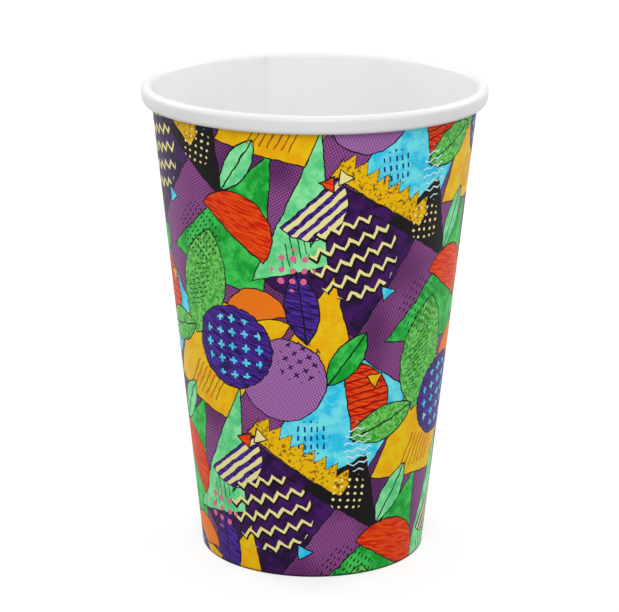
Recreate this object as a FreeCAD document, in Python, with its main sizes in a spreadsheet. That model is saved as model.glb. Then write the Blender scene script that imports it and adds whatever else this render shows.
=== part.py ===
"""Paper drinking cup: a conical sidewall rolled from one blank, and a flanged disc sealed in its foot.

Millimetres, +Z up. The origin is the centre of the circle that the cup stands on.
Looking along +Y shows the front; the lapped side seam is at the back, a little left of centre.
"""
import FreeCAD, Part
import math
import os
import sys

import Sketcher
from FreeCAD import Placement, Rotation, Vector

# Driving dimensions, in millimetres and degrees. Each one becomes a named cell of the sheet.
SIZES = {
    "mouth_diameter": 70.3,  # across the outside of the rolled rim
    "base_diameter": 46.4,  # across the outside of the foot, where the wall's face meets the table
    "cup_height": 98.0,  # from the table to the top of the rim
    "side_board": 0.30,  # thickness of the sidewall's coated board
    "rim_width": 2.2,  # the rolled rim, measured across the wall
    "rim_flank": 1.6,  # straight stretch on the outside of the roll
    "curl_gap": 0.06,  # air between the wall and the end of the roll
    "curl_tuck": 0.8,  # straight end of the board, tucked up inside the roll
    "base_board": 0.25,  # thickness of the base disc's board
    "recess_depth": 7.0,  # from the table to the underside of the base disc
    "disc_round": 0.7,  # outside radius where the base disc turns down
    "bond_gap": 0.03,  # sealing film on each side of the disc's flange
    "flange_clearance": 0.28,  # from the inside of the fold to the flange's cut edge
    "hem_clearance": 0.8,  # from the top of the turned-in hem to the base disc
    "hem_round": 0.3,  # outside radii of the folded hem
    "lap_angle": 11.0,  # how far the blank's ends lap at the side seam
    "ramp_angle": 2.5,  # where the outer end climbs onto the inner one
    "lap_rise": 0.20,  # how far the pressed lap stands proud
    "lap_shoulder": 0.3,  # from the lap's ends to the foot's round and to the roll
    "ramp_bury": 0.01,  # how deep the ramp's thin end sinks into the board
    "seam_azimuth": 108.3,  # where the inner end's cut edge lies, from +X
}

START, END, CENTRE = range(1, 4)  # the points of a sketch line or arc
X_AXIS, V_AXIS = range(-1, -3, -1)  # a sketch's own level and upright axes
ORIGIN = (X_AXIS, START)
LEAST_VOLUME = 1.0  # cubic millimetres that any sub-part must exceed

# Lengths that follow from the sheet, as formulas on its cells.
ROLL_RADIUS = "Sizes.rim_width / 2"
ROLL_INNER_RADIUS = "(Sizes.rim_width / 2 - Sizes.side_board)"
CURL_RADIUS = "(Sizes.rim_width - Sizes.side_board - Sizes.curl_gap) / 2"
ROLL_CENTRE_RADIUS = "(Sizes.mouth_diameter - Sizes.rim_width) / 2"
ROLL_CENTRE_HEIGHT = "Sizes.cup_height - Sizes.rim_width / 2"
FLANGE_SLOT = "Sizes.base_board + 2 * Sizes.bond_gap"
HEM_TOP = "Sizes.recess_depth - Sizes.hem_clearance"
WALL_TO_FLANGE = "Sizes.side_board + Sizes.bond_gap"
FLANGE_END = "Sizes.side_board + Sizes.flange_clearance"
MID_BOARD = "Sizes.side_board / 2"
RAMP_BURY = "Sizes.ramp_bury"
SEAM_END = "Sizes.lap_angle"
RAMP_END = "Sizes.lap_angle + Sizes.ramp_angle"
LAP_BOTTOM = "Sizes.hem_round + Sizes.lap_shoulder"
LAP_TOP = f"{ROLL_CENTRE_HEIGHT} - Sizes.rim_flank - {CURL_RADIUS} - Sizes.lap_shoulder"
NOTCH_BOTTOM = "Sizes.recess_depth + Sizes.base_board + Sizes.lap_shoulder"


class Section:
    """A sketch in a plane through the cup's axis, with the wall's outer face as its datum line."""

    def __init__(self, body, name, azimuth="0"):
        plane = next(o for o in body.Origin.OriginFeatures if o.Role == "XZ_Plane")
        self.sketch = body.newObject("Sketcher::SketchObject", name)
        self.sketch.AttachmentSupport = [(plane, "")]
        self.sketch.MapMode = "FlatFace"
        self.sketch.AttachmentOffset = Placement(Vector(), Rotation(Vector(0, 1, 0), self.value(azimuth)))
        self.sketch.setExpression("AttachmentOffset.Rotation.Angle", azimuth)
        self.edges = {}
        self.draw_datum()

    def value(self, formula):
        return float(self.sketch.evalExpression(formula))

    def draw_datum(self):
        """The wall's outer face, from the table up to where it touches the roll's inner arc."""
        self.foot = self.value("Sizes.base_diameter / 2")
        centre = Vector(self.value(ROLL_CENTRE_RADIUS), self.value(ROLL_CENTRE_HEIGHT))
        inner_radius = self.value(ROLL_INNER_RADIUS)
        across = centre.x - self.foot
        lean_to_centre = math.atan2(across, centre.y)
        self.slant = lean_to_centre - math.asin(inner_radius / math.hypot(across, centre.y))
        self.up = Vector(math.sin(self.slant), math.cos(self.slant))
        self.out = Vector(math.cos(self.slant), -math.sin(self.slant))
        self.roll_centre = centre
        touch = centre - self.out * inner_radius
        self.line("datum", Vector(self.foot, 0), touch, construction=True)
        self.line("spoke", centre, touch, construction=True)
        self.hold("Coincident", ("datum", END), ("spoke", END))
        self.hold("Perpendicular", "datum", "spoke")
        self.hold("PointOnObject", ("datum", START), X_AXIS)
        self.size("DistanceX", "foot_radius", "Sizes.base_diameter / 2", ORIGIN, ("datum", START))
        self.size("DistanceX", "roll_centre_radius", ROLL_CENTRE_RADIUS, ORIGIN, ("spoke", START))
        self.size("DistanceY", "roll_centre_height", ROLL_CENTRE_HEIGHT, ORIGIN, ("spoke", START))
        self.size("Distance", "roll_inner_radius", ROLL_INNER_RADIUS, "spoke")

    def beside(self, outward, height):
        """The point at a height, on the line that lies a distance outward of the wall's outer face."""
        return Vector(self.foot + height * math.tan(self.slant) + outward / math.cos(self.slant), height)

    def line(self, name, start, end, construction=False):
        self.edges[name] = self.sketch.addGeometry(Part.LineSegment(start, end), construction)

    def path(self, names, points):
        """Lines joined end to end through the points."""
        for name, start, end in zip(names, points, points[1:]):
            self.line(name, start, end)
        for name, following in zip(names, names[1:]):
            self.hold("Coincident", (name, END), (following, START))

    def arc(self, name, centre, radius, first, last):
        """An arc that runs counterclockwise between two angles."""
        circle = Part.Circle(centre, Vector(0, 0, 1), radius)
        self.edges[name] = self.sketch.addGeometry(Part.ArcOfCircle(circle, first, last), False)

    def hold(self, kind, *places):
        """A geometric constraint on edges, or on points of edges."""
        self.sketch.addConstraint(Sketcher.Constraint(kind, *self.spread(places)))

    def size(self, kind, name, formula, *places):
        """A dimension that is bound to the sheet."""
        constraint = Sketcher.Constraint(kind, *self.spread(places), self.value(formula))
        index = self.sketch.addConstraint(constraint)
        self.sketch.renameConstraint(index, name)
        self.sketch.setExpression(f"Constraints.{name}", formula)

    def spread(self, places):
        """Edge and point numbers for places that are given as edge, or as (edge, point)."""
        numbers = []
        for place in places:
            pair = place if isinstance(place, tuple) else (place,)
            numbers.append(self.edges.get(pair[0], pair[0]))
            numbers.extend(pair[1:])
        return numbers

    def close(self):
        """Every section is fully dimensioned, so that it follows the sheet."""
        if self.sketch.solve() != 0 or not self.sketch.FullyConstrained:
            raise RuntimeError(f"{self.sketch.Name} is not fully dimensioned")
        return self.sketch


def add_sheet(doc):
    """The sheet of driving dimensions, one named cell each."""
    sheet = doc.addObject("Spreadsheet::Sheet", "Sizes")
    for row, (alias, value) in enumerate(SIZES.items(), start=1):
        sheet.set(f"A{row}", alias)
        sheet.set(f"B{row}", str(value))
        sheet.setAlias(f"B{row}", alias)
    doc.recompute()


def draw_roll(section):
    """The board's outward roll: over the top, down the flank, round the bottom and up inside."""
    slant, up, out = section.slant, section.up, section.out
    board = section.value("Sizes.side_board")
    top, top_radius = section.roll_centre, section.value(ROLL_RADIUS)
    flank = section.value("Sizes.rim_flank")
    tuck = section.value("Sizes.curl_tuck")
    curl_radius = section.value(CURL_RADIUS)
    bottom = top - up * flank + out * (top_radius - curl_radius)
    outer_side, wall_side = -slant, math.pi - slant

    section.arc("top_outer", top, top_radius, outer_side, wall_side)
    section.arc("top_inner", top, top_radius - board, outer_side, wall_side)
    section.arc("curl_outer", bottom, curl_radius, wall_side, 2 * math.pi + outer_side)
    section.arc("curl_inner", bottom, curl_radius - board, wall_side, 2 * math.pi + outer_side)
    section.line("flank_outer", top + out * top_radius, bottom + out * curl_radius)
    section.line("flank_inner", top + out * (top_radius - board), bottom + out * (curl_radius - board))
    tucked = bottom + up * tuck
    section.path(["tuck_outer", "tuck_end", "tuck_inner"],
                 [bottom - out * curl_radius, tucked - out * curl_radius,
                  tucked - out * (curl_radius - board), bottom - out * (curl_radius - board)])

    section.hold("Coincident", ("top_inner", CENTRE), ("spoke", START))
    section.hold("Coincident", ("top_outer", CENTRE), ("spoke", START))
    section.hold("Coincident", ("curl_inner", CENTRE), ("curl_outer", CENTRE))
    section.hold("Coincident", ("top_inner", END), ("spoke", END))
    for side in ("outer", "inner"):
        section.hold("Tangent", (f"top_{side}", START), (f"flank_{side}", START))
        section.hold("Tangent", (f"flank_{side}", END), (f"curl_{side}", END))
        section.hold("Parallel", f"flank_{side}", "datum")
    section.hold("Tangent", ("curl_outer", START), ("tuck_outer", START))
    section.hold("Tangent", ("curl_inner", START), ("tuck_inner", END))
    section.hold("Parallel", "tuck_outer", "datum")
    section.hold("Parallel", "tuck_inner", "datum")
    section.hold("Perpendicular", "tuck_end", "tuck_outer")
    section.size("Radius", "roll_radius", ROLL_RADIUS, "top_outer")
    section.size("Radius", "curl_radius", CURL_RADIUS, "curl_outer")
    section.size("Distance", "flank_length", "Sizes.rim_flank", "flank_outer")
    section.size("Distance", "tuck_length", "Sizes.curl_tuck", "tuck_outer")


def draw_wall_and_hem(section):
    """The two faces of the wall, and the hem that folds up inside the foot around the disc's flange."""
    slant, out = section.slant, section.out
    board = section.value("Sizes.side_board")
    slot = section.value(FLANGE_SLOT)
    hem_top = section.value(HEM_TOP)
    fold = section.value("Sizes.hem_round")
    wall_side = math.pi - slant

    hem_face = -board - slot
    hem_corner = section.beside(hem_face, hem_top)
    inner_round = section.beside(hem_face - board + fold, fold)
    outer_round = section.beside(-fold, fold)
    roll_centre = section.roll_centre
    outer_top = roll_centre - out * section.value(ROLL_INNER_RADIUS)
    section.line("outer_face", outer_round + out * fold, outer_top)
    section.path(["inner_face", "fold_floor", "hem_face", "hem_end", "hem_inner"],
                 [roll_centre - out * section.value(ROLL_RADIUS),
                  section.beside(-board, board), section.beside(hem_face, board),
                  hem_corner, hem_corner - out * board, inner_round - out * fold])
    section.line("floor", Vector(inner_round.x, 0), Vector(outer_round.x, 0))
    section.arc("inner_round", inner_round, fold, wall_side, 1.5 * math.pi)
    section.arc("outer_round", outer_round, fold, 1.5 * math.pi, 2 * math.pi - slant)

    section.hold("Coincident", ("outer_face", END), ("datum", END))
    section.hold("PointOnObject", ("outer_face", START), "datum")
    section.hold("Tangent", ("inner_face", START), ("top_outer", END))
    section.hold("Parallel", "inner_face", "datum")
    section.hold("Horizontal", "fold_floor")
    section.hold("Parallel", "hem_face", "datum")
    section.hold("Perpendicular", "hem_end", "hem_face")
    section.hold("Parallel", "hem_inner", "datum")
    section.hold("Tangent", ("hem_inner", END), ("inner_round", START))
    section.hold("Tangent", ("inner_round", END), ("floor", START))
    section.hold("Tangent", ("floor", END), ("outer_round", START))
    section.hold("Tangent", ("outer_round", END), ("outer_face", START))
    section.hold("PointOnObject", ("floor", START), X_AXIS)
    section.hold("PointOnObject", ("floor", END), X_AXIS)
    section.size("Radius", "inner_round_radius", "Sizes.hem_round", "inner_round")
    section.size("Radius", "outer_round_radius", "Sizes.hem_round", "outer_round")
    section.size("DistanceY", "fold_floor_height", "Sizes.side_board", ORIGIN, ("fold_floor", START))
    section.size("Distance", "slot_width", FLANGE_SLOT, ("hem_face", START), "inner_face")
    section.size("DistanceY", "hem_height", HEM_TOP, ORIGIN, ("hem_face", END))
    section.size("Distance", "hem_thickness", "Sizes.side_board", "hem_end")


def band_section(body, name, azimuth, near, far, lowest, highest):
    """A strip along the wall, between two heights and two lines beside its outer face.

    Each line is given as its side of the face, -1 inward or 1 outward, and its distance.
    """
    section = Section(body, name, azimuth)
    inner = near[0] * section.value(near[1])
    outer = far[0] * section.value(far[1])
    low, high = section.value(lowest), section.value(highest)
    corners = [section.beside(inner, low), section.beside(outer, low), section.beside(outer, high),
               section.beside(inner, high)]
    section.path(["bottom", "far_side", "top", "near_side"], corners + corners[:1])
    section.hold("Coincident", ("near_side", END), ("bottom", START))
    section.hold("Horizontal", "bottom")
    section.hold("Horizontal", "top")
    section.hold("Parallel", "near_side", "datum")
    section.hold("Parallel", "far_side", "datum")
    section.size("Distance", "near_offset", near[1], ("bottom", START), "datum")
    section.size("Distance", "far_offset", far[1], ("top", START), "datum")
    section.size("DistanceY", "low_end", lowest, ORIGIN, ("bottom", START))
    section.size("DistanceY", "high_end", highest, ORIGIN, ("top", START))
    return section.close()


def rim_lap_section(body, name):
    """The lapped board on the roll: flush at its top, and proud by the lap's rise down its flank."""
    section = Section(body, name)
    up, out, slant, top = section.up, section.out, section.slant, section.roll_centre
    radius, rise = section.value(ROLL_RADIUS), section.value("Sizes.lap_rise")
    mid_radius = section.value(f"{ROLL_RADIUS} - {MID_BOARD}")
    shifted = top + out * rise
    low = top - up * section.value("Sizes.rim_flank")
    section.arc("proud_arc", shifted, radius, -slant, math.pi / 2 - slant)
    section.arc("mid_arc", top, mid_radius, -slant, math.pi / 2 - slant)
    section.path(["proud_flank", "lap_end", "mid_flank"],
                 [shifted + out * radius, low + out * (radius + rise), low + out * mid_radius,
                  top + out * mid_radius])
    section.line("flush_end", top + up * mid_radius, shifted + up * radius)
    section.line("shift", top, shifted, construction=True)
    section.line("proud_rise", shifted, shifted + up * radius, construction=True)
    section.line("mid_rise", top, top + up * mid_radius, construction=True)

    section.hold("Coincident", ("shift", START), ("spoke", START))
    section.hold("Parallel", "shift", "spoke")
    section.hold("Coincident", ("proud_arc", CENTRE), ("shift", END))
    section.hold("Coincident", ("mid_arc", CENTRE), ("shift", START))
    section.hold("Tangent", ("proud_arc", START), ("proud_flank", START))
    section.hold("Tangent", ("mid_arc", START), ("mid_flank", END))
    section.hold("Parallel", "proud_flank", "datum")
    section.hold("Parallel", "mid_flank", "datum")
    section.hold("Perpendicular", "lap_end", "proud_flank")
    section.hold("Coincident", ("flush_end", START), ("mid_arc", END))
    section.hold("Coincident", ("flush_end", END), ("proud_arc", END))
    for side, centre in (("proud", END), ("mid", START)):
        section.hold("Coincident", (f"{side}_rise", START), ("shift", centre))
        section.hold("Coincident", (f"{side}_rise", END), (f"{side}_arc", END))
        section.hold("Perpendicular", f"{side}_rise", "shift")
    section.size("Distance", "rise", "Sizes.lap_rise", "shift")
    section.size("Radius", "proud_radius", ROLL_RADIUS, "proud_arc")
    section.size("Radius", "mid_radius", f"{ROLL_RADIUS} - {MID_BOARD}", "mid_arc")
    section.size("Distance", "flank_length", "Sizes.rim_flank", "proud_flank")
    return section.close()


def disc_section(body, name):
    """The base disc with its edge turned down between the wall and the hem."""
    section = Section(body, name)
    slant, out = section.slant, section.out
    board, fillet = section.value("Sizes.base_board"), section.value("Sizes.disc_round")
    underside = section.value("Sizes.recess_depth")
    outer_side = -section.value(WALL_TO_FLANGE)
    flange_end = section.value(FLANGE_END)
    corner = section.beside(outer_side - fillet, underside + board - fillet)
    section.arc("outer_round", corner, fillet, -slant, math.pi / 2)
    section.arc("inner_round", corner, fillet - board, -slant, math.pi / 2)
    foot = section.beside(outer_side, flange_end)
    section.path(["flange_outer", "flange_end", "flange_inner"],
                 [corner + out * fillet, foot, foot - out * board, corner + out * (fillet - board)])
    section.path(["underside", "axis", "top"],
                 [Vector(corner.x, underside), Vector(0, underside), Vector(0, underside + board),
                  Vector(corner.x, underside + board)])

    section.hold("Coincident", ("inner_round", CENTRE), ("outer_round", CENTRE))
    section.hold("Tangent", ("outer_round", START), ("flange_outer", START))
    section.hold("Tangent", ("inner_round", START), ("flange_inner", END))
    section.hold("Tangent", ("outer_round", END), ("top", END))
    section.hold("Tangent", ("inner_round", END), ("underside", START))
    section.hold("Parallel", "flange_outer", "datum")
    section.hold("Parallel", "flange_inner", "datum")
    section.hold("Perpendicular", "flange_end", "flange_outer")
    section.hold("Horizontal", "underside")
    section.hold("Horizontal", "top")
    section.hold("PointOnObject", ("axis", START), V_AXIS)
    section.hold("PointOnObject", ("axis", END), V_AXIS)
    section.size("Radius", "disc_round", "Sizes.disc_round", "outer_round")
    section.size("Distance", "board_thickness", "Sizes.base_board", "axis")
    section.size("DistanceY", "underside_height", "Sizes.recess_depth", ORIGIN, ("axis", START))
    section.size("Distance", "wall_clearance", WALL_TO_FLANGE, ("flange_outer", END), "datum")
    section.size("DistanceY", "flange_end_height", FLANGE_END, ORIGIN, ("flange_outer", END))
    return section.close()


def revolve(body, name, sketch, angle="360"):
    feature = body.newObject("PartDesign::Revolution", name)
    feature.Profile = sketch
    feature.ReferenceAxis = (sketch, ["V_Axis"])
    feature.Angle = float(feature.evalExpression(angle))
    feature.setExpression("Angle", angle)


def loft(body, kind, name, first, last):
    feature = body.newObject(f"PartDesign::{kind}", name)
    feature.Profile = first
    feature.Sections = [last]
    feature.Ruled = True


def build_sidewall(doc):
    """One rolled blank: wall, rolled rim, turned-in hem, and the step and ramp of its lapped seam.

    In the body's own frame the outer end's cut edge lies at azimuth 0, the inner end's at the lap's angle.
    """
    body = doc.addObject("PartDesign::Body", "Sidewall")
    section = Section(body, "BoardSection")
    draw_roll(section)
    draw_wall_and_hem(section)
    revolve(body, "RolledBoard", section.close())

    outside = (LAP_BOTTOM, LAP_TOP)
    proud, sunk = (1, "Sizes.lap_rise"), (-1, MID_BOARD)
    lap = band_section(body, "LapStart", "0", sunk, proud, *outside)
    revolve(body, "Lap", lap, SEAM_END)
    ramp_head = band_section(body, "RampHead", SEAM_END, sunk, proud, *outside)
    ramp_foot = band_section(body, "RampFoot", RAMP_END, sunk, (-1, RAMP_BURY), *outside)
    loft(body, "AdditiveLoft", "Ramp", ramp_head, ramp_foot)

    inside = (NOTCH_BOTTOM, LAP_TOP)
    air = (-1, "Sizes.side_board + Sizes.lap_rise")
    step_depth = (-1, "Sizes.side_board - Sizes.lap_rise")
    step_runout = (-1, f"Sizes.side_board + {RAMP_BURY}")
    notch_head = band_section(body, "NotchHead", SEAM_END, air, step_depth, *inside)
    notch_foot = band_section(body, "NotchFoot", RAMP_END, air, step_runout, *inside)
    loft(body, "SubtractiveLoft", "InnerStep", notch_head, notch_foot)

    revolve(body, "RimLap", rim_lap_section(body, "RimLapSection"), SEAM_END)
    turn = "Sizes.seam_azimuth - Sizes.lap_angle"
    body.Placement = Placement(Vector(), Rotation(Vector(0, 0, 1), float(body.evalExpression(turn))))
    body.setExpression("Placement.Rotation.Angle", turn)
    return body


def build_bottom_disc(doc):
    """The base disc, whose turned-down flange stands in the hem."""
    body = doc.addObject("PartDesign::Body", "BottomDisc")
    revolve(body, "FlangedDisc", disc_section(body, "DiscSection"))
    return body


def main():
    doc = FreeCAD.newDocument("PaperCup")
    add_sheet(doc)
    bodies = {"sidewall": build_sidewall(doc), "bottom_disc": build_bottom_disc(doc)}
    doc.recompute()
    for item in doc.Objects:
        if "Invalid" in item.State or "Error" in item.State:
            sys.exit(f"{item.Name} did not rebuild: {item.State}")
    os.makedirs("parts", exist_ok=True)
    for node, body in bodies.items():
        body.Label = node
        shape = body.Shape
        if shape.isNull() or not shape.isValid() or shape.Volume < LEAST_VOLUME:
            sys.exit(f"{node} has no valid solid")
        shape.exportStep(f"parts/{node}.step")
        print(node, round(shape.Volume, 2), "mm3,", len(shape.Solids), "solid")


main()
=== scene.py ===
"""The looks of the printed paper cup: its rolled sheet, base disc, print, studio and camera.

Metres, in the CAD part's frame: +Z up, the cup stands on Z = 0, and the front faces -Y.
Lengths named in millimetres are turned to metres where a mesh is made.
"""

import math
from types import SimpleNamespace

import bpy
from mathutils import Matrix, Vector, kdtree


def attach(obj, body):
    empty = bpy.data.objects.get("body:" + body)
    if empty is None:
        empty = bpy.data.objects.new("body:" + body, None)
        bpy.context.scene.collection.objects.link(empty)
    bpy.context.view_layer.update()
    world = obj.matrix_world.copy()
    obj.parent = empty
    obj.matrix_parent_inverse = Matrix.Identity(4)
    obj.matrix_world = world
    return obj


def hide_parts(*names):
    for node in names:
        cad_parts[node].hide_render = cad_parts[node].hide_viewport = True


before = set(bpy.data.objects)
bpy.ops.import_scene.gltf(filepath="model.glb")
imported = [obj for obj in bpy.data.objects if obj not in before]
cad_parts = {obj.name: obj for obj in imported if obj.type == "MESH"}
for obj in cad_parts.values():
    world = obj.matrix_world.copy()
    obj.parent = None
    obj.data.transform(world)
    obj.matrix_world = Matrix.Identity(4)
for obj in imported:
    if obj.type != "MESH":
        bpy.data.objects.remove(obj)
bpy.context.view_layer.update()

MM = 0.001

# The rolled sheet, in millimetres.
MOUTH_RADIUS = 35.15
FOOT_RADIUS = 23.2
CUP_HEIGHT = 98.0
BOARD = 0.30
RIM_WIDTH = 2.2
RIM_FLANK = 1.6
CURL_GAP = 0.06
CURL_TUCK = 0.8
HEM_SLOT = 0.31
HEM_TOP = 6.2
HEM_ROUND = 0.3

# How many steps the stretches of its section have, and how many columns go round.
WALL_STEPS = 30
CURL_STEPS = 8
ROLL_STEPS = 14
FLANK_STEPS = 3
LIP_STEPS = 18
HEM_STEPS = 6
ROUND_STEPS = 5
COLUMNS = 360
DRAWN_MERGE = MM / 100
SPUN_MERGE = MM / 500
SMOOTH_BELOW = 35

# The lapped seam, in degrees around from +X.
OUTER_CUT = 97.3
INNER_CUT = 108.3
RAMP_END = 110.8
CUT_WIDTH = 0.08
INNER_CUT_WIDTH = 0.6
RIM_LAP_LEAD = 5

# The lapped seam, in millimetres.
LAP_RISE = 0.2
LAP_FADE = 1.0
LAP_BELOW_RIM = 4.3
RAMP_BOTTOM = HEM_TOP + 1.0
RIM_LAP_RISE = 0.14
RIM_LAP_FROM = -0.9
RIM_LAP_TO = 0.4

# The two UV maps: millimetres in a unit of Blank, and the shares of OFBake.
BLANK_UNIT = 10.0
BAKE_EDGE = 0.01
BAKE_WIDTH = 0.98
BAKE_WALL_HEIGHT = 0.70
BAKE_REST_START = 0.73
BAKE_REST_HEIGHT = 0.26

ROLL_RADIUS = RIM_WIDTH / 2
CURL_RADIUS = (RIM_WIDTH - BOARD - CURL_GAP) / 2
ROLL_CENTRE = Vector((MOUTH_RADIUS - ROLL_RADIUS, CUP_HEIGHT - ROLL_RADIUS))
SPAN = Vector((ROLL_CENTRE.x - FOOT_RADIUS, ROLL_CENTRE.y))
SLANT = math.atan2(SPAN.x, SPAN.y) - math.asin((ROLL_RADIUS - BOARD) / SPAN.length)
UP = Vector((math.sin(SLANT), math.cos(SLANT)))
OUT = Vector((math.cos(SLANT), -math.sin(SLANT)))
APEX_TO_FOOT = FOOT_RADIUS / math.sin(SLANT)


# The outline of the sheet, as cut through the cup's axis

class Outline:
    """Points around the sheet's cross-section, in mm, and the face of the board between each two."""

    def __init__(self, start):
        self.points = [start]
        self.faces = []

    def run(self, end, face, steps=1):
        start = self.points[-1]
        for step in range(1, steps + 1):
            self.points.append(start.lerp(end, step / steps))
            self.faces.append(face)

    def turn(self, centre, radius, first, last, face, steps):
        for step in range(1, steps + 1):
            angle = math.radians(first + (last - first) * step / steps)
            self.points.append(centre + Vector((math.cos(angle), math.sin(angle))) * radius)
            self.faces.append(face)

    def lengths(self):
        """The length around the outline at each of its points."""
        totals = [0.0]
        for start, end in zip(self.points, self.points[1:]):
            totals.append(totals[-1] + (end - start).length)
        return totals


def beside(outward, height):
    """The point at a height, a distance outward of the wall's outer face."""
    return Vector((FOOT_RADIUS + height * math.tan(SLANT) + outward / math.cos(SLANT), height))


def sheet_outline():
    """Once around the sheet: up the printed face, round the roll, down the white face and round the hem."""
    lean = math.degrees(SLANT)
    curl_centre = ROLL_CENTRE - UP * RIM_FLANK + OUT * (ROLL_RADIUS - CURL_RADIUS)
    tucked = curl_centre + UP * CURL_TUCK
    hem_face = -BOARD - HEM_SLOT
    inner_round = beside(hem_face - BOARD + HEM_ROUND, HEM_ROUND)
    outer_round = beside(-HEM_ROUND, HEM_ROUND)

    outline = Outline(outer_round + OUT * HEM_ROUND)
    outline.run(ROLL_CENTRE - OUT * (ROLL_RADIUS - BOARD), "print", WALL_STEPS)
    outline.turn(ROLL_CENTRE, ROLL_RADIUS - BOARD, 180 - lean, -lean, "curl inside", CURL_STEPS)
    outline.run(curl_centre + OUT * (CURL_RADIUS - BOARD), "curl inside")
    outline.turn(curl_centre, CURL_RADIUS - BOARD, -lean, -180 - lean, "curl inside", CURL_STEPS)
    outline.run(tucked - OUT * (CURL_RADIUS - BOARD), "curl inside")
    outline.run(tucked - OUT * CURL_RADIUS, "cut")
    outline.run(curl_centre - OUT * CURL_RADIUS, "tuck")
    outline.turn(curl_centre, CURL_RADIUS, 180 - lean, 360 - lean, "roll", ROLL_STEPS)
    outline.run(ROLL_CENTRE + OUT * ROLL_RADIUS, "roll", FLANK_STEPS)
    outline.turn(ROLL_CENTRE, ROLL_RADIUS, -lean, 180 - lean, "roll", LIP_STEPS)
    outline.run(beside(-BOARD, BOARD), "inside", WALL_STEPS)
    outline.run(beside(hem_face, BOARD), "fold")
    outline.run(beside(hem_face, HEM_TOP), "fold", 2)
    outline.run(outline.points[-1] - OUT * BOARD, "cut")
    outline.run(inner_round - OUT * HEM_ROUND, "hem", HEM_STEPS)
    outline.turn(inner_round, HEM_ROUND, 180 - lean, 270, "hem", ROUND_STEPS)
    outline.run(Vector((outer_round.x, 0)), "hem")
    outline.turn(outer_round, HEM_ROUND, 270, 360 - lean, "hem", ROUND_STEPS)
    return outline


# Modelling the sheet

def draw_section(outline, azimuth):
    """Draws the outline out of one vertex, in the plane through the axis at an azimuth, and closes it."""
    across = Vector((math.cos(math.radians(azimuth)), math.sin(math.radians(azimuth)), 0))
    here = Vector((0, 0, 0))
    for number, point in enumerate(outline.points):
        there = (across * point.x + Vector((0, 0, point.y))) * MM
        if number == 0:
            bpy.ops.transform.translate(value=there)
        else:
            bpy.ops.mesh.extrude_vertices_move(TRANSFORM_OT_translate={"value": there - here})
        here = there
    bpy.ops.mesh.select_all(action="SELECT")
    bpy.ops.mesh.remove_doubles(threshold=DRAWN_MERGE)


def spin_sheet(outline):
    """The plain sheet, spun once round from its section."""
    bpy.ops.object.select_all(action="DESELECT")
    bpy.ops.mesh.primitive_plane_add(size=MM)
    sheet = bpy.context.object
    sheet.name = "sidewall_sheet"
    bpy.ops.object.mode_set(mode="EDIT")
    bpy.ops.mesh.merge(type="CENTER")
    draw_section(outline, OUTER_CUT + 180 / COLUMNS)
    bpy.ops.mesh.spin(steps=COLUMNS, angle=math.tau, center=(0, 0, 0), axis=(0, 0, 1))
    bpy.ops.mesh.select_all(action="SELECT")
    bpy.ops.mesh.remove_doubles(threshold=SPUN_MERGE)
    bpy.ops.mesh.normals_make_consistent(inside=False)
    bpy.ops.object.mode_set(mode="OBJECT")
    return sheet


def polar(place):
    """Azimuth in degrees, then radius and height in mm."""
    azimuth = math.degrees(math.atan2(place.y, place.x)) % 360
    return azimuth, Vector((math.hypot(place.x, place.y), place.z)) / MM


def ease(value, low, high):
    """0 below low, 1 above high, and smooth between."""
    share = min(max((value - low) / (high - low), 0), 1)
    return share * share * (3 - 2 * share)


def grow_tree(spots):
    tree = kdtree.KDTree(len(spots))
    for number, spot in enumerate(spots):
        tree.insert((spot.x, spot.y, 0), number)
    tree.balance()
    return tree


def pull_to_cuts(azimuth):
    """Moves the two columns beside each cut edge to it: sharp outside, and pressed to a slope inside."""
    for cut, width in ((OUTER_CUT, CUT_WIDTH), (INNER_CUT, INNER_CUT_WIDTH)):
        if abs(azimuth - cut) < 360 / COLUMNS:
            return cut + math.copysign(width / 2, azimuth - cut)
    return azimuth


def lap_shift(azimuth, face, spot):
    """How the lapped ends carry a point of the sheet, in mm across and up."""
    in_lap = OUTER_CUT < azimuth < INNER_CUT
    past = (azimuth - INNER_CUT) / (RAMP_END - INNER_CUT)
    ramp = 1 - past if 0 < past < 1 else 0
    if face == "print":
        fade = ease(CUP_HEIGHT - LAP_BELOW_RIM - spot.y, 0, LAP_FADE) * ease(spot.y, HEM_ROUND, LAP_FADE)
        return OUT * LAP_RISE * fade * (1 if in_lap else ramp)
    if face == "inside":
        return OUT * LAP_RISE * ramp * ease(spot.y, RAMP_BOTTOM, RAMP_BOTTOM + LAP_FADE)
    if face == "roll" and azimuth < INNER_CUT:
        outward = spot - (ROLL_CENTRE - UP * RIM_FLANK / 2)
        share = ease(azimuth, OUTER_CUT - RIM_LAP_LEAD, OUTER_CUT)
        share *= ease(outward.dot(OUT), RIM_LAP_FROM, RIM_LAP_TO)
        return outward.normalized() * RIM_LAP_RISE * share
    return Vector((0, 0))


def press_seam(sheet, outline):
    """Presses the lapped ends into the spun sheet."""
    corners = grow_tree(outline.points[:-1])
    for vertex in sheet.data.vertices:
        azimuth, spot = polar(vertex.co)
        face = outline.faces[corners.find((spot.x, spot.y, 0))[1]]
        azimuth = pull_to_cuts(azimuth)
        spot += lap_shift(azimuth, face, spot)
        angle = math.radians(azimuth)
        vertex.co = Vector((spot.x * math.cos(angle), spot.x * math.sin(angle), spot.y)) * MM


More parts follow.
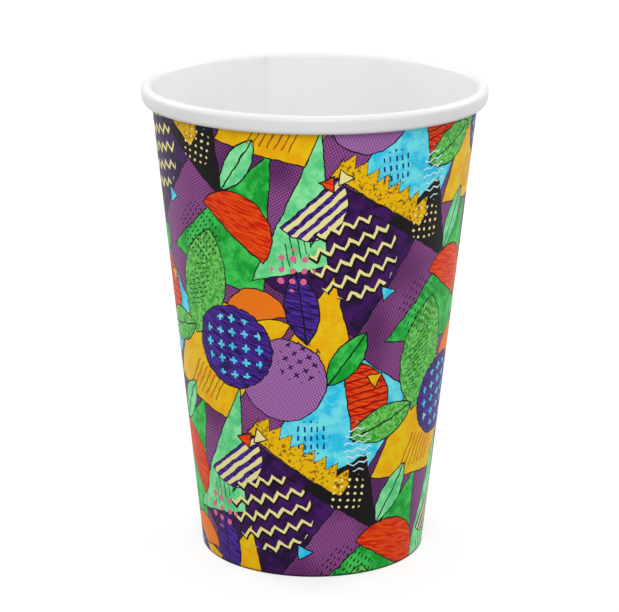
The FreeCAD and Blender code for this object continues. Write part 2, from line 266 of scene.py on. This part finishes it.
def lay_out_blank(sheet, outline, stretch_of):
    """Two UV maps: Blank is the sheet unrolled flat, in cm from the foot's front; OFBake has no overlaps."""
    mesh = sheet.data
    blank = mesh.uv_layers.new(name="Blank")
    bake = mesh.uv_layers.new(name="OFBake")
    lengths = outline.lengths()
    wall_length, whole = lengths[WALL_STEPS], lengths[-1]

    def bake_height(length):
        if length <= wall_length:
            return BAKE_EDGE + BAKE_WALL_HEIGHT * length / wall_length
        return BAKE_REST_START + BAKE_REST_HEIGHT * (length - wall_length) / (whole - wall_length)

    for polygon in mesh.polygons:
        stretch = stretch_of[polygon.index]
        start, end = outline.points[stretch], outline.points[stretch + 1]
        along = end - start
        foot_length = whole if outline.faces[stretch] == "hem" else 0
        middle = (polar(polygon.center)[0] - OUTER_CUT) % 360
        for loop in polygon.loop_indices:
            azimuth, spot = polar(mesh.vertices[mesh.loops[loop].vertex_index].co)
            turned = (azimuth - OUTER_CUT) % 360
            turned += 360 * round((middle - turned) / 360)
            share = min(max((spot - start).dot(along) / along.length_squared, 0), 1)
            length = lengths[stretch] + along.length * share
            reach = APEX_TO_FOOT + length - foot_length
            opened = math.radians(turned + OUTER_CUT - 270) * math.sin(SLANT)
            across, up = reach * math.sin(opened), reach * math.cos(opened) - APEX_TO_FOOT
            blank.data[loop].uv = (across / BLANK_UNIT, up / BLANK_UNIT)
            bake.data[loop].uv = (BAKE_EDGE + BAKE_WIDTH * turned / 360, bake_height(length))


def make_sheet(printed, white, raw):
    """The sidewall: one sheet with its roll, lapped seam and hem, printed on one side."""
    outline = sheet_outline()
    sheet = spin_sheet(outline)
    middles = grow_tree([(start + end) / 2 for start, end in zip(outline.points, outline.points[1:])])
    stretch_of = []
    for polygon in sheet.data.polygons:
        spot = polar(polygon.center)[1]
        stretch_of.append(middles.find((spot.x, spot.y, 0))[1])
    press_seam(sheet, outline)
    lay_out_blank(sheet, outline, stretch_of)

    for material in (printed, white, raw):
        sheet.data.materials.append(material)
    slot_of = {"print": 0, "hem": 0, "curl inside": 0, "cut": 2}
    for polygon in sheet.data.polygons:
        face = outline.faces[stretch_of[polygon.index]]
        azimuth = polar(polygon.center)[0]
        polygon.material_index = slot_of.get(face, 1)
        if face == "print" and abs(azimuth - OUTER_CUT) < CUT_WIDTH / 2:
            polygon.material_index = 2
        if face in ("inside", "roll") and abs(azimuth - INNER_CUT) < INNER_CUT_WIDTH / 2:
            polygon.material_index = 2
    bpy.ops.object.select_all(action="DESELECT")
    sheet.select_set(True)
    bpy.context.view_layer.objects.active = sheet
    bpy.ops.object.shade_smooth_by_angle(angle=math.radians(SMOOTH_BELOW))
    return sheet


# Materials

def ink(code):
    """A linear colour from the six-figure code of an ink."""
    parts = [int(code[place:place + 2], 16) / 255 for place in (0, 2, 4)]
    return [part / 12.92 if part <= 0.04045 else ((part + 0.055) / 1.055) ** 2.4 for part in parts] + [1]


class Finish:
    """A material whose nodes are added one after another."""

    def __init__(self, name, roughness, specular=0.5):
        self.material = bpy.data.materials.new(name)
        self.material.use_nodes = True
        self.tree = self.material.node_tree
        self.shader = self.tree.nodes["Principled BSDF"]
        self.shader.inputs["Roughness"].default_value = roughness
        self.shader.inputs["Specular IOR Level"].default_value = specular

    def add(self, kind, output=0, inputs=(), **settings):
        """One node, with its settings and its inputs, given in order or by name. Returns an output."""
        node = self.tree.nodes.new(kind)
        for name, value in settings.items():
            setattr(node, name, value)
        pairs = inputs.items() if isinstance(inputs, dict) else enumerate(inputs)
        for place, value in pairs:
            self.join(value, node.inputs[place])
        return node.outputs[output]

    def join(self, value, socket):
        if isinstance(value, bpy.types.NodeSocket):
            self.tree.links.new(value, socket)
        elif value is not None:
            socket.default_value = value

    def sum(self, operation, *values):
        return self.add("ShaderNodeMath", inputs=values, operation=operation)

    def vector(self, operation, *values, output="Vector"):
        return self.add("ShaderNodeVectorMath", output, values, operation=operation)

    def noise(self, place, scale, detail=2.0, roughness=0.5, output="Fac"):
        inputs = {"Vector": place, "Scale": scale, "Detail": detail, "Roughness": roughness}
        return self.add("ShaderNodeTexNoise", output, inputs)

    def blend(self, share, first, second):
        """first where share is 0, second where it is 1."""
        return self.add("ShaderNodeMix", 2, {0: share, 6: first, 7: second}, data_type="RGBA")

    def ramp(self, value, low, high, start=0.0, end=1.0):
        return self.add("ShaderNodeMapRange", inputs=[value, low, high, start, end])

    def bump(self, height, distance, strength=1.0):
        inputs = {"Strength": strength, "Distance": distance, "Height": height}
        self.join(self.add("ShaderNodeBump", inputs=inputs), self.shader.inputs["Normal"])

    def colour(self, value):
        self.join(value, self.shader.inputs["Base Color"])

    def rough(self, value):
        self.join(value, self.shader.inputs["Roughness"])


# The print

WHITE_BOARD = (0.885, 0.885, 0.88, 1)
TILE = Vector((52.0, 58.0))
TILE_TILT = 17.0
TILE_SHIFT = Vector((19.0, 7.0))
LINE_WIDTH = 0.26
WEAVE_PITCH = 0.7
PRINT_BLEED = 2.0
# How wide and how dark the painted shade along the fold at the foot is.
FOLD_SHADE_WIDTH = 0.25
FOLD_SHADE_DARKNESS = 0.7


class Print(Finish):
    """The printed face: shapes laid over one another on a tile that repeats over the flat blank.

    Places are in mm on the tile, with 1 as their third part, so that one dot product gives the
    distance from a straight edge. Directions are in degrees. Each shape is a distance: below 0
    inside it, above 0 outside.
    """

    def start(self):
        """The place on the tile, and the textures that the paints and edges share."""
        self.blank = self.add("ShaderNodeUVMap", uv_map="Blank")
        self.flat = self.add("ShaderNodeMapping", inputs={
            "Vector": self.blank, "Scale": (BLANK_UNIT, BLANK_UNIT, 1),
            "Rotation": (0, 0, math.radians(TILE_TILT)), "Location": (TILE_SHIFT.x, TILE_SHIFT.y, 1)})
        wobble = self.noise(self.flat, 0.42, 1.5, 0.5, "Color")
        self.place = self.vector("MULTIPLY_ADD", wobble, (0.9, 0.9, 0), self.flat)
        self.cloud = self.noise(self.flat, 0.05, 1.0)
        self.mottle = self.noise(self.flat, 0.32, 4.0, 0.62)
        self.crayon = self.noise(self.flat, 1.3, 4.0, 0.7)
        brushed = self.add("ShaderNodeMapping", inputs={
            "Vector": self.flat, "Scale": (0.3, 2.2, 1), "Rotation": (0, 0, math.radians(-38))})
        self.brush = self.noise(brushed, 1.0, 3.0, 0.6)
        turns = math.tau / WEAVE_PITCH
        waves = self.vector("SINE", self.vector("MULTIPLY", self.flat, (turns, turns * 0.8, 0)))
        waves = self.add("ShaderNodeSeparateXYZ", inputs=[waves]).node.outputs
        self.weave = self.sum("MULTIPLY", waves[0], waves[1])

    def paint(self, dark, light, texture, low, high):
        return self.blend(self.ramp(texture, low, high), ink(dark), ink(light))

    def near(self, centre):
        """The place on the tile, repeated so that the centre's own surroundings are whole."""
        reach = Vector((TILE.x / 2, TILE.y / 2, 0.5))
        middle = Vector((centre[0], centre[1], 1))
        return self.vector("WRAP", self.place, middle + reach, middle - reach)

    def facing(self, direction):
        return math.cos(math.radians(direction)), math.sin(math.radians(direction))

    def beyond(self, place, point, normal):
        """How far beyond a straight edge, through a point, along its outward normal."""
        offset = point[0] * normal[0] + point[1] * normal[1]
        return self.vector("DOT_PRODUCT", place, (normal[0], normal[1], -offset), output="Value")

    def within(self, area, shape):
        return self.sum("MAXIMUM", area, shape)

    def field(self, *points):
        """A convex polygon with its corners given counterclockwise."""
        place = self.near([sum(part) / len(points) for part in zip(*points)])
        distance = None
        for start, end in zip(points, points[1:] + points[:1]):
            across, up = end[0] - start[0], end[1] - start[1]
            length = math.hypot(across, up)
            side = self.beyond(place, start, (up / length, -across / length))
            distance = side if distance is None else self.within(distance, side)
        return distance

    def disc(self, centre, radius, place=None):
        place = place or self.near(centre)
        away = self.vector("DISTANCE", place, (centre[0], centre[1], 1), output="Value")
        return self.sum("SUBTRACT", away, radius)

    def half_disc(self, centre, radius, direction):
        """A disc cut through its centre. The straight side faces the direction."""
        place = self.near(centre)
        return self.within(self.disc(centre, radius, place),
                           self.beyond(place, centre, self.facing(direction)))

    def leaf(self, centre, length, width, direction):
        """Two arcs that meet in points."""
        place = self.near(centre)
        radius = (length * length + width * width) / (4 * width)
        shift = Vector(self.facing(direction + 90)) * (radius - width / 2)
        middle = Vector(centre)
        return self.within(self.disc(middle + shift, radius, place), self.disc(middle - shift, radius, place))

    def frayed(self, distance, amount):
        """The same shape with the broken edge of a dry crayon."""
        return self.sum("MULTIPLY_ADD", self.sum("SUBTRACT", self.crayon, 0.5), amount, distance)

    def axes(self, centre, direction):
        """How far along and how far across from the centre."""
        place = self.near(centre)
        return [self.beyond(place, centre, self.facing(direction + turn)) for turn in (0, 90)]

    def grid(self, centre, direction, along_pitch, across_pitch):
        """How far along and how far across from the nearest point of a grid."""
        pairs = zip(self.axes(centre, direction), (along_pitch, across_pitch))
        return [self.sum("PINGPONG", part, pitch / 2) for part, pitch in pairs]

    def lines(self, centre, direction, pitch, width):
        across = self.axes(centre, direction)[1]
        return self.sum("SUBTRACT", self.sum("PINGPONG", across, pitch / 2), width / 2)

    def zigzags(self, centre, direction, step, height, pitch, width):
        along, across = self.axes(centre, direction)
        teeth = self.sum("PINGPONG", along, step)
        across = self.sum("MULTIPLY_ADD", teeth, height / step, across)
        return self.sum("SUBTRACT", self.sum("PINGPONG", across, pitch / 2), width / 2)

    def toothed_band(self, centre, direction, length, width, step, height):
        """A straight band with teeth along one side."""
        along, across = self.axes(centre, direction)
        teeth = self.sum("PINGPONG", along, step)
        top = self.sum("SUBTRACT", self.sum("MULTIPLY_ADD", teeth, -height / step, across), width / 2)
        bottom = self.sum("SUBTRACT", -width / 2, across)
        ends = self.sum("SUBTRACT", self.sum("ABSOLUTE", along), length / 2)
        return self.within(self.within(top, bottom), ends)

    def dashes(self, centre, direction, pitches, length, width):
        along, across = self.grid(centre, direction, *pitches)
        return self.within(self.sum("SUBTRACT", along, length / 2), self.sum("SUBTRACT", across, width / 2))

    def crosses(self, centre, direction, pitch, length, width):
        grid = self.grid(centre, direction, pitch, pitch)
        long = [self.sum("SUBTRACT", part, length / 2) for part in grid]
        thin = [self.sum("SUBTRACT", part, width / 2) for part in grid]
        return self.sum("MINIMUM", self.within(long[0], thin[1]), self.within(long[1], thin[0]))

    def dots(self, centre, direction, pitch, radius):
        along, across = self.grid(centre, direction, pitch, pitch)
        square = self.sum("MULTIPLY_ADD", along, along, self.sum("MULTIPLY", across, across))
        return self.sum("SUBTRACT", square, radius * radius)

    def confetti(self, centre, direction):
        """A small triangle."""
        corners = [Vector(centre) + 1.7 * Vector(self.facing(direction + turn)) for turn in (0, 120, 240)]
        return self.field(*corners)

    def lay(self, distance, paint, line=LINE_WIDTH):
        """Covers a shape with paint, inside a dark line."""
        if line:
            self.coat = self.blend(self.sum("LESS_THAN", distance, line), self.coat, ink("120a10"))
        self.coat = self.blend(self.sum("LESS_THAN", distance, 0), self.coat, paint)

    def lay_leaf(self, centre, length, width, direction, paint):
        """A leaf with a dark outline and midrib."""
        leaf = self.leaf(centre, length, width, direction)
        self.lay(leaf, paint, 0.3)
        self.lay(self.within(leaf, self.lines(centre, direction, 40, 0.32)), ink("0d0709"), 0)


def mix_paints(face):
    """The inks, each with a dark and a light shade that a texture mixes."""
    return SimpleNamespace(
        purple=face.blend(
            face.ramp(face.cloud, 0.36, 0.54), face.paint("3e124d", "7c3d76", face.weave, -0.7, 0.7),
            face.paint("6b226b", "a462a0", face.weave, -0.7, 0.7)),
        lilac=face.paint("8d4b95", "bb84c4", face.weave, -0.7, 0.7),
        indigo=face.paint("1c0648", "5b34af", face.brush, 0.4, 0.6),
        aubergine=face.paint("1d0632", "4a1869", face.mottle, 0.38, 0.62),
        emerald=face.paint("11a432", "47d95e", face.mottle, 0.4, 0.6),
        green=face.paint("31a434", "85e26d", face.crayon, 0.42, 0.58),
        mint=face.paint("5cdc89", "99fbb1", face.mottle, 0.4, 0.6),
        amber=face.paint("ffb804", "ffd414", face.mottle, 0.4, 0.6),
        gold=face.paint("7d4a10", "ffc909", face.crayon, 0.38, 0.48),
        cyan=face.paint("2fd3fd", "7cf7ff", face.mottle, 0.4, 0.6),
        red=face.paint("dc1800", "ff5812", face.brush, 0.4, 0.58),
        black=ink("0d0709"), cream=ink("fff2a2"), pink=ink("ee7399"), orange=ink("ff821a"),
        rust=ink("b05a10"), blue=ink("1c3f9e"), scarlet=ink("8f0d00"), forest=ink("0a5a22"),
        ice=ink("dcf8ff"))


def lay_fields(face, paints):
    """The large fields of colour."""
    face.coat = paints.purple
    face.lay(face.field((3, 35), (22, 29), (29, 50), (9, 58)), paints.cyan)
    face.lay(face.field((19, 2), (44, 4), (37, 33)), paints.emerald)
    face.lay(face.field((25, 31), (44, 33), (51, 59), (29, 56)), paints.amber)
    face.lay(face.field((-9, 8), (12, 2), (20, 26), (-3, 32)), paints.aubergine)
    face.lay(face.field((41, 7), (54, 15), (45, 41)), paints.mint)
    face.lay(face.within(face.leaf((48, 19), 17, 5, 72), face.lines((48, 19), 118, 1.25, 0.26)),
             paints.forest, 0)
    face.lay(face.field((-2, -9), (15, -6), (4, 13)), paints.amber)
    face.lay(face.field((12, 26), (30, 20), (22, 36)), paints.black)
    face.lay(face.leaf((30, 0), 24, 12, 95), paints.green)


def lay_discs(face, paints):
    """The toothed band, the discs and the leaves."""
    face.lay(face.disc((53, 47), 8.6), paints.lilac)
    face.lay(face.half_disc((34, 14), 8.5, 250), paints.red)
    face.lay(face.half_disc((44, -1), 6.5, 300), paints.orange)
    face.lay(face.frayed(face.toothed_band((9, 31), -17, 23, 3.2, 1.4, 2.6), 1.0), paints.gold)

    barred = face.half_disc((15, 46), 8.6, 205)
    face.lay(barred, paints.red)
    face.lay(face.within(barred, face.dashes((15, 46), 25, (40, 1.5), 39, 0.35)), paints.scarlet, 0)

    striped = face.half_disc((47, 26), 7.4, 150)
    face.lay(striped, paints.cream)
    face.lay(face.within(striped, face.lines((47, 26), 60, 1.9, 0.95)), paints.indigo, 0)

    face.lay(face.frayed(face.disc((41, 49), 8.6), 1.0), paints.indigo)
    face.lay(face.within(face.disc((41, 49), 7), face.crosses((41, 49), 20, 3.0, 1.7, 0.5)), paints.cyan, 0)

    face.lay_leaf((31, 28), 13, 5.0, 75, paints.mint)
    face.lay_leaf((24, 43), 15, 7.0, 35, paints.green)
    face.lay_leaf((52, 5), 15, 6.5, 115, paints.indigo)
    face.lay_leaf((12, -3), 13, 5.5, 70, paints.emerald)


def lay_small_motifs(face, paints):
    """The lines, dots, ticks and confetti."""
    face.lay(face.within(face.disc((7, 18), 9.2), face.zigzags((7, 18), 35, 1.5, 1.6, 3.6, 1.5)),
             paints.black, 0)
    face.lay(face.within(face.disc((7, 18), 9.0), face.zigzags((6.8, 18.3), 35, 1.5, 1.6, 3.6, 0.85)),
             paints.cream, 0)
    face.lay(face.within(face.disc((-4, 12), 4.5), face.dots((-4, 12), 15, 2.3, 0.62)), paints.pink, 0)
    face.lay(face.within(face.disc((26, 10), 6), face.dashes((26, 10), 70, (1.5, 1.0), 0.75, 0.3)),
             paints.black, 0)
    face.lay(face.within(face.disc((10, 37), 3.8), face.dashes((10, 37), 110, (1.9, 1.3), 1.1, 0.4)),
             paints.blue, 0)
    face.lay(face.within(face.leaf((20, 37), 12, 6, 110), face.zigzags((20, 37), 20, 1.1, 0.5, 1.5, 0.3)),
             paints.ice, 0)
    face.lay(face.within(face.leaf((29, -1), 14, 6, 85), face.dashes((29, -1), 40, (1.7, 0.95), 1.15, 0.26)),
             paints.forest, 0)
    face.lay(face.within(face.disc((55, 52), 4.4), face.crosses((55, 52), 50, 2.1, 1.2, 0.34)),
             paints.aubergine, 0)
    face.lay(face.within(face.disc((21, 27), 4.2), face.dots((21, 27), 10, 1.5, 0.3)), paints.cream, 0)
    hatched = face.field((31, 33), (41, 35), (42, 40), (33, 41))
    face.lay(face.within(hatched, face.lines((38, 38), 78, 1.3, 0.28)), paints.rust, 0)
    for centre, direction, paint in (((16, 12), 20, paints.cyan), ((19, -6), 50, paints.amber),
                                     ((52, 33), 10, paints.cream), ((49.5, 31), 70, paints.red)):
        face.lay(face.confetti(centre, direction), paint, 0.25)


def printed_board():
    """The outer face, printed all over with a generic pattern, with painted shade along the fold at the foot
    and a bare margin inside the hem.
    """
    face = Print("Printed board", 0.46, 0.12)
    face.start()
    paints = mix_paints(face)
    lay_fields(face, paints)
    lay_discs(face, paints)
    lay_small_motifs(face, paints)

    reach = face.vector("DISTANCE", face.blank, (0, -APEX_TO_FOOT / BLANK_UNIT, 0), output="Value")
    bare = face.sum("LESS_THAN", reach, (APEX_TO_FOOT - PRINT_BLEED) / BLANK_UNIT)
    # Painted shade: a thin dark line darkens the print along the fold at the foot, where the board turns
    # under.
    fold = face.sum("COMPARE", reach, APEX_TO_FOOT / BLANK_UNIT, FOLD_SHADE_WIDTH / BLANK_UNIT)
    face.coat = face.blend(face.sum("MULTIPLY", fold, FOLD_SHADE_DARKNESS), face.coat, paints.black)
    face.colour(face.blend(bare, face.coat, WHITE_BOARD))
    fibres = face.noise(face.flat, 3.2, 3.0, 0.6)
    face.rough(face.ramp(fibres, 0.3, 0.7, 0.4, 0.52))
    face.bump(fibres, 0.00003, 0.5)
    return face.material


def white_board(name, shade):
    """The coated, unprinted face: the inside, the roll and the base."""
    face = Finish(name, 0.38, 0.45)
    place = face.add("ShaderNodeTexCoord", "Object")
    clouds = face.noise(place, 160, 2.0)
    tones = [[part * level * shade for part in WHITE_BOARD[:3]] + [1] for level in (0.985, 1.01)]
    face.colour(face.blend(face.ramp(clouds, 0.3, 0.7), *tones))
    fibres = face.noise(place, 1400, 3.0, 0.6)
    face.rough(face.ramp(fibres, 0.3, 0.7, 0.32, 0.44))
    face.bump(fibres, 0.00002, 0.4)
    return face.material


def raw_edge():
    """The uncoated cut edge of the board."""
    face = Finish("Cut board edge", 0.9, 0.2)
    place = face.add("ShaderNodeTexCoord", "Object")
    fibres = face.noise(place, 2500, 3.0, 0.6)
    face.colour(face.blend(fibres, (0.83, 0.825, 0.81, 1), (0.88, 0.875, 0.86, 1)))
    face.bump(fibres, 0.00003, 0.6)
    return face.material


# The studio

SKY_LIGHT = 0.71
SWEEP_SIZE = 6
SWEEP_SHADE = 0.35
SWEEP_GLOW = 0.68
LIT_PLACE = Vector((0, 0, 0.05))
SENSOR_WIDTH = 36
LENS = 144.2
CAMERA_PLACE = (-0.00084, -0.4942, 0.19235)
CAMERA_DOWN = 15.97
CAMERA_ROLL = 0.26


def make_floor():
    """A white sweep that shows white to the camera and keeps the cup's soft shadow."""
    bpy.ops.object.select_all(action="DESELECT")
    bpy.ops.mesh.primitive_plane_add(size=SWEEP_SIZE)
    floor = bpy.context.object
    floor.name = "studio_floor"
    face = Finish("White sweep", 0.9, 0.1)
    face.shader.inputs["Base Color"].default_value = (SWEEP_SHADE, SWEEP_SHADE, SWEEP_SHADE, 1)
    paths = face.add("ShaderNodeLightPath").node.outputs
    seen = face.sum("MAXIMUM", paths["Is Camera Ray"], paths["Is Glossy Ray"])
    glow = face.add("ShaderNodeEmission", inputs=[(1, 1, 1, 1), face.sum("MULTIPLY", seen, SWEEP_GLOW)])
    both = face.add("ShaderNodeAddShader", inputs=[face.shader.outputs[0], glow])
    face.join(both, face.tree.nodes["Material Output"].inputs[0])
    floor.data.materials.append(face.material)


def make_world():
    """White to the camera, and a dimmer even light to all else."""
    world = bpy.data.worlds.new("White studio")
    world.use_nodes = True
    bpy.context.scene.world = world
    tree = world.node_tree
    strength = tree.nodes.new("ShaderNodeMapRange")
    strength.inputs["To Min"].default_value = SKY_LIGHT
    paths = tree.nodes.new("ShaderNodeLightPath")
    tree.links.new(paths.outputs["Is Camera Ray"], strength.inputs["Value"])
    tree.links.new(strength.outputs[0], tree.nodes["Background"].inputs[1])
    tree.nodes["Background"].inputs[0].default_value = (1, 1, 1, 1)


def add_softbox(name, place, size, power):
    bpy.ops.object.light_add(type="AREA", location=place)
    lamp = bpy.context.object
    lamp.name = name
    lamp.data.shape = "DISK"
    lamp.data.size = size
    lamp.data.energy = power
    aim = LIT_PLACE - Vector(place)
    lamp.rotation_euler = aim.to_track_quat("-Z", "Y").to_euler()


def add_camera():
    """The photograph's viewpoint: about half a metre away and 16 degrees up, turned a little."""
    camera = bpy.data.cameras.new("Camera")
    camera.sensor_width = SENSOR_WIDTH
    camera.lens = LENS
    camera.clip_start = 0.01
    viewer = bpy.data.objects.new("Camera", camera)
    bpy.context.collection.objects.link(viewer)
    turn = Matrix.Rotation(math.radians(90 - CAMERA_DOWN), 4, "X")
    turn @= Matrix.Rotation(math.radians(CAMERA_ROLL), 4, "Z")
    viewer.matrix_world = Matrix.Translation(CAMERA_PLACE) @ turn
    bpy.context.scene.camera = viewer


def main():
    scene = bpy.context.scene
    scene.view_settings.view_transform = "Standard"
    sheet = make_sheet(printed_board(), white_board("White coated board", 1.0), raw_edge())
    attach(sheet, "root")
    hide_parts("sidewall")
    base = white_board("White base board", 0.98)
    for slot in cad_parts["bottom_disc"].material_slots:
        slot.material = base

    make_world()
    make_floor()
    add_softbox("front softbox", (0, -0.85, 0.65), 0.5, 3.15)
    for name, across in (("left softbox", -0.6), ("right softbox", 0.6)):
        add_softbox(name, (across, 0.45, 0.6), 0.4, 2.3)
    add_camera()


main()
